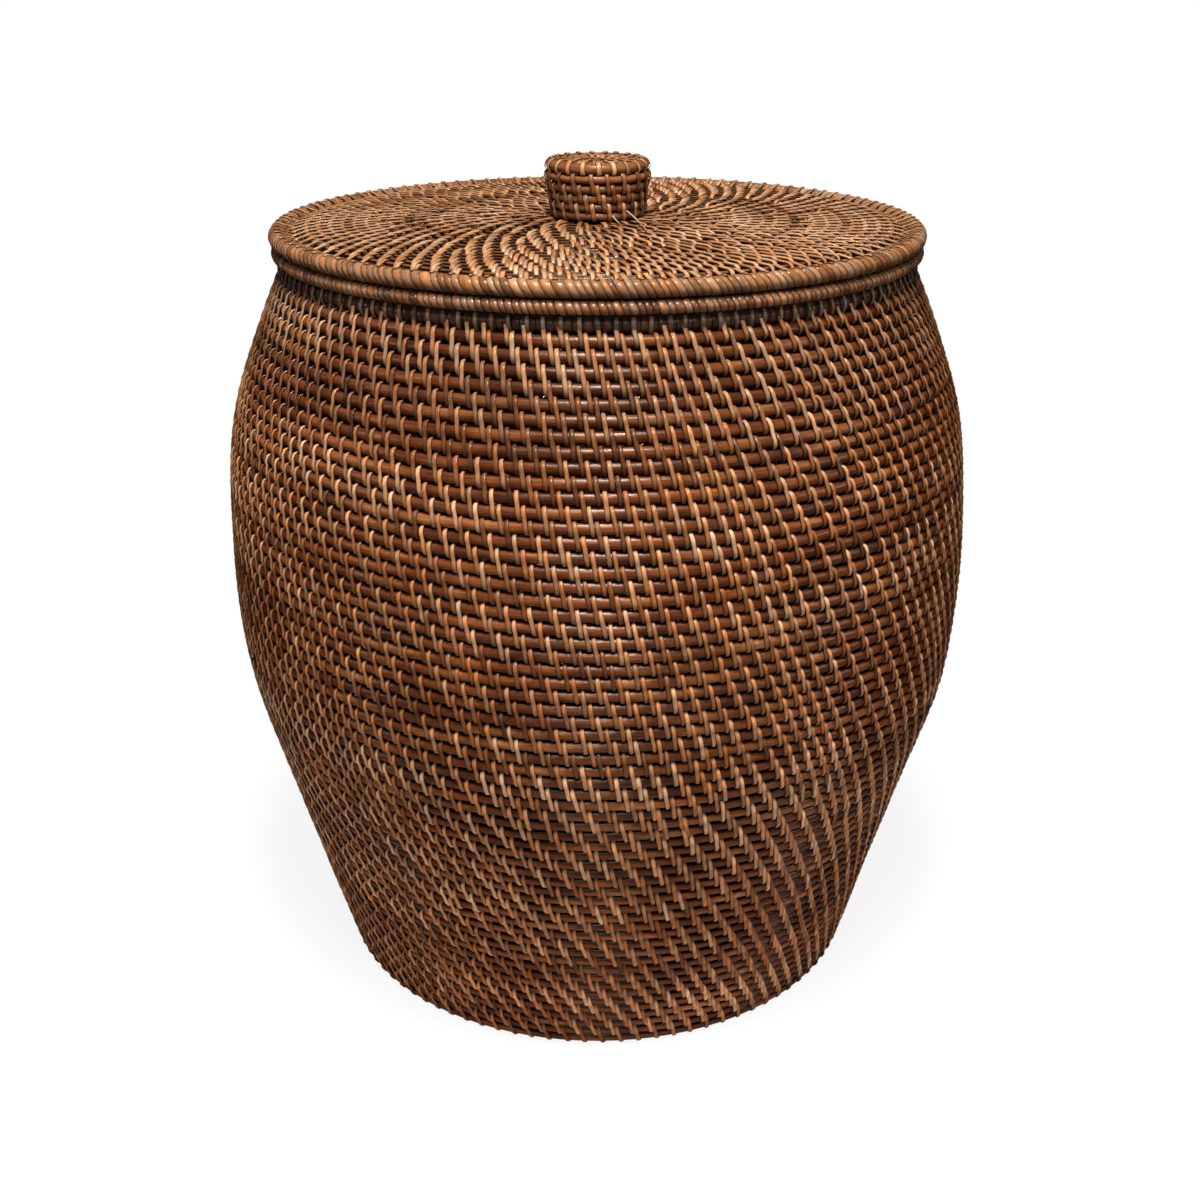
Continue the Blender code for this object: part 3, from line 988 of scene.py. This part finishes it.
def windOn(name, radius, height, tube, finish, seedNumber):
    # peel wound side by side round a hoop
    style = hoops[name]
    chance = random.Random(seedNumber)
    widths = []
    while sum(widths) < 2 * math.pi * (radius + 0.5 * tube):
        widths.append(chance.triangular(*style["widths"]))
    azimuth, seeds = spiral["seam"], []
    scale = 2 * math.pi / sum(widths)
    for width in widths:
        azimuth += 0.5 * width * scale
        lean = chance.gauss(0.0, turns["leanJitter"])
        spot, turned = seatOn((radius, height), (0.0, 1.0), azimuth, lean)
        size = (turns["overlap"] * width, 1.0, chance.uniform(*turns["girths"]))
        seeds.append((spot, turned, size, chance.triangular(*turns["tones"])))
        azimuth += 0.5 * width * scale
    values = {"Hoop radius": tube, "Peel thickness": style["thickness"], "Squareness": style["squareness"]}
    winding = grow(name, seedMesh(name, seeds), windingNodes, {**values, "Material": finish})
    coords = pointsOf(winding.data)
    swing = -style["lean"] * (coords[:, 2] - height) / radius  # further round where higher: the line slants
    east = coords[:, 0] * numpy.cos(swing) - coords[:, 1] * numpy.sin(swing)
    coords[:, 1] = coords[:, 0] * numpy.sin(swing) + coords[:, 1] * numpy.cos(swing)
    coords[:, 0] = east
    movePoints(winding.data, coords)
    print(f"{name}: {len(widths)} turns of peel")
    return winding


def makeHoop(name, node, body, coreFinish, peelFinish, seedNumber):
    low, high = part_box(node)
    tube = (high[2] - low[2]) / 2
    radius, height = high[0] - tube, (high[2] + low[2]) / 2
    coreTube = tube - turns["coreDepth"] * hoops[name]["thickness"]
    core = caneRing(name + "Core", radius, height, coreTube, coreFinish)
    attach(core, body)
    winding = windOn(name, radius, height, tube - turns["sunk"], peelFinish, seedNumber)
    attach(winding, body)
    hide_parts(node)
    return radius, height, tube


def packing(name, body, beside, rod, hoopNode, finish):
    # a thin cane that fills the slit between a hoop and the row beside it
    low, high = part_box(hoopNode)
    tube = (high[2] - low[2]) / 2
    hoop = numpy.array((high[0] - tube, low[2] + tube))
    apart = numpy.linalg.norm(hoop - beside)
    slit = apart - tube - rod
    spot = beside + (hoop - beside) * (rod + slit / 2) / apart
    bite = 0.7 * mm  # how far the packing reaches into the hoop and the row
    piece = caneRing(name, spot[0], spot[1], max(slit, 0.0) / 2 + bite, finish, sides=8)
    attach(piece, body)
    print(f"{name}: slit {1000 * slit:.2f} mm at {1000 * spot[0]:.1f}, {1000 * spot[1]:.1f} mm")


# Ties that sew the hoops and the collar
tie = {"rowPitch": 1.6 * mm, "dip": 0.0, "wrap": 1.35, "head": 0.0}
ties = {
    "neck": {**tie, "pitch": 9.7 * mm, "width": 3.0 * mm, "thickness": 1.4 * mm, "tones": (0.1, 0.9)},
    "lidEdge": {
        **tie,
        "pitch": 11.3 * mm,
        "rowPitch": 9.5 * mm,
        "width": 2.7 * mm,
        "thickness": 0.6 * mm,
        "dip": 0.1 * mm,
        "wrap": 0.9,
        "tones": (0.3, 0.9),
    },
    "collar": {
        **tie,
        "pitch": 13.0 * mm,
        "rowPitch": 8.3 * mm,
        "width": 3.4 * mm,
        "thickness": 1.2 * mm,
        "tones": (0.2, 0.9),
    },
    "knobEdge": {
        **tie,
        "pitch": 9.6 * mm,
        "width": 3.3 * mm,
        "thickness": 0.5 * mm,
        "wrap": 1.5,
        "tones": (0.4, 1.0),
    },
}
tying = {"apartJitter": 0.05, "lean": (0.07, 0.05), "widths": (0.85, 1.12), "leastSpan": 0.1 * mm}


def tieRow(name, body, lower, upper, rodRadius, style, finish, seedNumber, phase=0.0):
    # one round of short ties, each over two rods whose centres are lower and upper
    chance = random.Random(seedNumber)
    middle, run = (lower + upper) / 2, upper - lower
    span = max(numpy.linalg.norm(run), tying["leastSpan"])
    run = run / span
    place = middle + numpy.array((run[1], -run[0])) * (rodRadius + style["thickness"] / 2)
    count = round(2 * math.pi * place[0] / style["pitch"])
    seeds = []
    for number in range(count):
        azimuth = 2 * math.pi * (number + phase + chance.gauss(0.0, tying["apartJitter"])) / count
        spot, turned = seatOn(place, run, azimuth, chance.gauss(*tying["lean"]))
        size = (chance.uniform(*tying["widths"]), max(1.0, span / style["rowPitch"]), 1.0)
        seeds.append((spot, turned, size, chance.uniform(*style["tones"])))
    piece = stitches(name, seeds, finish, {**style, "caneRadius": rodRadius})
    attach(piece, body)
    print(f"{name}: {count} ties")
    return piece


# Knob
knob = {
    **lid,
    "caneRadius": 2.75 * mm,
    "rowPitch": 5.7 * mm,
    "pitch": 9.4 * mm,
    "shift": 3.6 * mm,
    "lean": math.radians(8),
    "width": 3.5 * mm,
    "thickness": 0.95 * mm,
    "dip": 0.3 * mm,
    "edgeRadius": 3.5 * mm,
    "edgeInset": 0.9 * mm,
    "edgeSunk": 0.6,  # how much of the peel's thickness lies over the edge ring
    "edgeLap": 0.4 * mm,  # how far the rows beside the edge ring press into it
    "tieHalf": (-0.25 * mm, 0.3 * mm),  # from the middle to one end of an edge tie
    "tails": (  # loose ends of peel at the foot, in mm, as in the photograph
        ((8.9, -26.8, 520.8), (11.5, -33.5, 518.6), (13.9, -40.4, 517.4)),
        ((18.4, -24.0, 522.8), (25.0, -37.3, 519.0), (30.2, -69.2, 517.4)),
    ),
    "tailPoints": 12,
}


def evenRows(line):
    # row centres spaced evenly along a line
    steps = numpy.concatenate(([0.0], numpy.cumsum(numpy.linalg.norm(numpy.diff(line, axis=0), axis=1))))
    even = numpy.linspace(0.0, steps[-1], round(steps[-1] / knob["rowPitch"]) + 1)
    return withHalfRows(numpy.column_stack([numpy.interp(even, steps, line[:, axis]) for axis in (0, 1)]))


def makeKnob():
    # side rows, one thicker ring round the top's edge, and the flat top
    side = crestLine(["knob_coil"], 1, 1)
    top = crestLine(["knob_cap"], 0, 1)[::-1]
    rod, edge = knob["caneRadius"], knob["edgeRadius"]
    depth = rod + knob["thickness"]
    corner = numpy.array((side[:, 0].max() - knob["edgeInset"], top[:, 1].max()))
    corner = corner - edge - knob["edgeSunk"] * knob["thickness"]
    reach = edge + rod - knob["edgeLap"]
    heights = numpy.linspace(side[0][1], corner[1] - reach, 24)
    sideLine = numpy.column_stack((numpy.interp(heights, side[:, 1], side[:, 0]) - depth, heights))
    topLine = numpy.array(((corner[0] - reach, top[0][1] - depth), (rod, top[-1][1] - depth)))
    chance = random.Random(31)
    for name, line in (("knobSide", sideLine), ("knobTop", topLine)):
        centres = evenRows(line)
        cane = coil(name + "Cane", centres, knobCaneFinish, rod, steps=48)
        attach(cane, "lid")
        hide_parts({"knobSide": "knob_coil", "knobTop": "knob_cap"}[name])
        seeds = stitchSeeds(centres, knob, chance)
        piece = stitches(name + "Stitches", seeds, lidPeelFinish, knob)
        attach(piece, "lid")
        print(f"{name}: {len(centres) - 2} rows, {len(seeds)} stitches")
    ring = caneRing("knobEdgeCane", *corner, edge, knobCaneFinish)
    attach(ring, "lid")
    half = numpy.array(knob["tieHalf"])
    tieRow("knobEdgeTies", "lid", corner - half, corner + half, edge, ties["knobEdge"], lidPeelFinish, 67)
    for number, points in enumerate(knob["tails"], 1):
        steps = numpy.linspace(0.0, 1.0, knob["tailPoints"])[:, None]
        first, middle, last = numpy.array(points) * mm
        middle = 2 * middle - (first + last) / 2  # so that the curve passes through it
        line = (1 - steps) ** 2 * first + 2 * steps * (1 - steps) * middle + steps ** 2 * last
        seed = bpy.data.meshes.new(f"tail {number}")
        seed.from_pydata(line.tolist(), [(step, step + 1) for step in range(len(line) - 1)], [])
        tail = grow(f"knobTail{number}", seed, tailNodes, {"Material": lidPeelFinish})
        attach(tail, "lid")


# Studio
studio = {
    "floorSize": 14.0,
    "floorTone": 0.95,
    "floorFar": 0.02,  # the floor's tone where it gives the basket no light
    "floorLit": (0.4, 0.9),  # beyond this the floor gives the basket no light
    "floorSheen": 0.12,  # how strongly the basket mirrors the floor
    "floorRoughness": 0.9,
    "paper": (0.95, 0.95, 0.95, 1.0),
    "white": (1.0, 1.0, 1.0, 1.0),
    "shadowShare": 0.12,  # how much of the real floor shows through its white glow, near the basket
    "shadowReach": (0.24, 0.6),
    "ambient": 0.03,
    "lamps": {  # place, target, size and power
        "topSoftbox": ((0.0, -0.7, 2.3), (0.0, 0.0, 0.3), 0.4, 60.0),
        "floorSoftbox": ((0.0, -1.1, 1.9), (0.0, -0.55, 0.0), 0.5, 27.0),
        "frontSoftbox": ((0.0, -2.1, 1.6), (0.0, 0.0, 0.3), 0.5, 8.0),
        "leftSoftbox": ((-1.9, -0.7, 1.1), (0.0, 0.0, 0.25), 0.5, 5.0),
        "rightSoftbox": ((1.9, -0.7, 1.1), (0.0, 0.0, 0.25), 0.5, 7.0),
        "backSoftbox": ((0.0, 2.0, 0.24), (0.0, 0.0, 0.24), 0.4, 12.0),
    },
}


def makeStudio():
    bpy.ops.mesh.primitive_plane_add(size=studio["floorSize"])
    floor = bpy.context.object
    floor.name = "studioFloor"
    material, shader = newMaterial("paperFloor")
    shader.inputs["Roughness"].default_value = studio["floorRoughness"]
    shader.inputs["Specular IOR Level"].default_value = 0.0
    paper = result("ShaderNodeBsdfDiffuse", {"Color": studio["paper"]})
    glow = result("ShaderNodeEmission", {"Color": studio["white"], "Strength": 1.0})
    away = vectorCalc("LENGTH", put("ShaderNodeTexCoord").outputs["Object"], output="Value")
    rays = put("ShaderNodeLightPath").outputs
    tone = spread(away, *studio["floorLit"], studio["floorTone"], studio["floorFar"], "SMOOTHSTEP")
    mirrored = spread(rays["Is Glossy Ray"], 0.0, 1.0, 1.0, studio["floorSheen"])
    tone = times(tone, mirrored)
    link(vector(tone, tone, tone), shader.inputs["Base Color"])
    share = spread(away, *studio["shadowReach"], 1 - studio["shadowShare"], 1.0, "SMOOTHSTEP")
    shown = result("ShaderNodeMixShader", {0: share, 1: paper, 2: glow})
    inputs = {0: rays["Is Camera Ray"], 1: shader.outputs[0], 2: shown}
    blend = result("ShaderNodeMixShader", inputs)
    link(blend, material.node_tree.nodes["Material Output"].inputs["Surface"])
    floor.data.materials.append(material)

    world = bpy.data.worlds.new("studioWorld")
    bpy.context.scene.world = world
    world.use_nodes = True
    bench["tree"] = world.node_tree
    path = put("ShaderNodeLightPath").outputs
    seen = calc("MAXIMUM", path["Is Camera Ray"], path["Is Transmission Ray"])
    back = world.node_tree.nodes["Background"]
    back.inputs["Color"].default_value = studio["white"]
    link(spread(seen, 0.0, 1.0, studio["ambient"], 1.0), back.inputs["Strength"])

    for name, (place, target, size, power) in studio["lamps"].items():
        lamp = bpy.data.lights.new(name, "AREA")
        lamp.shape = "DISK"
        lamp.size = size
        lamp.energy = power
        toward = (Vector(target) - Vector(place)).to_track_quat("-Z", "Y")
        added(name, lamp).matrix_world = Matrix.Translation(place) @ toward.to_matrix().to_4x4()


view = {"place": (0.0, -1.029, 0.674), "pitch": 22.636, "lens": 46.56, "sensor": 36.0, "shift": 0.0021}


def makeCamera():
    camera = bpy.data.cameras.new("photoCamera")
    camera.lens = view["lens"]
    camera.sensor_width = view["sensor"]
    camera.shift_x = view["shift"]
    holder = added("photoCamera", camera)
    holder.location = view["place"]
    holder.rotation_euler = (math.radians(90 - view["pitch"]), 0.0, 0.0)
    bpy.context.scene.camera = holder


makeCamera()
makeStudio()
makeWall()
makeBase()
makeHoop("basketHoop", "basket_hoop", "basket", wallCaneFinish, rimPeelFinish, 41)
makeLid()
makeCollar()
makeKnob()

bpy.context.scene.view_settings.view_transform = "Standard"
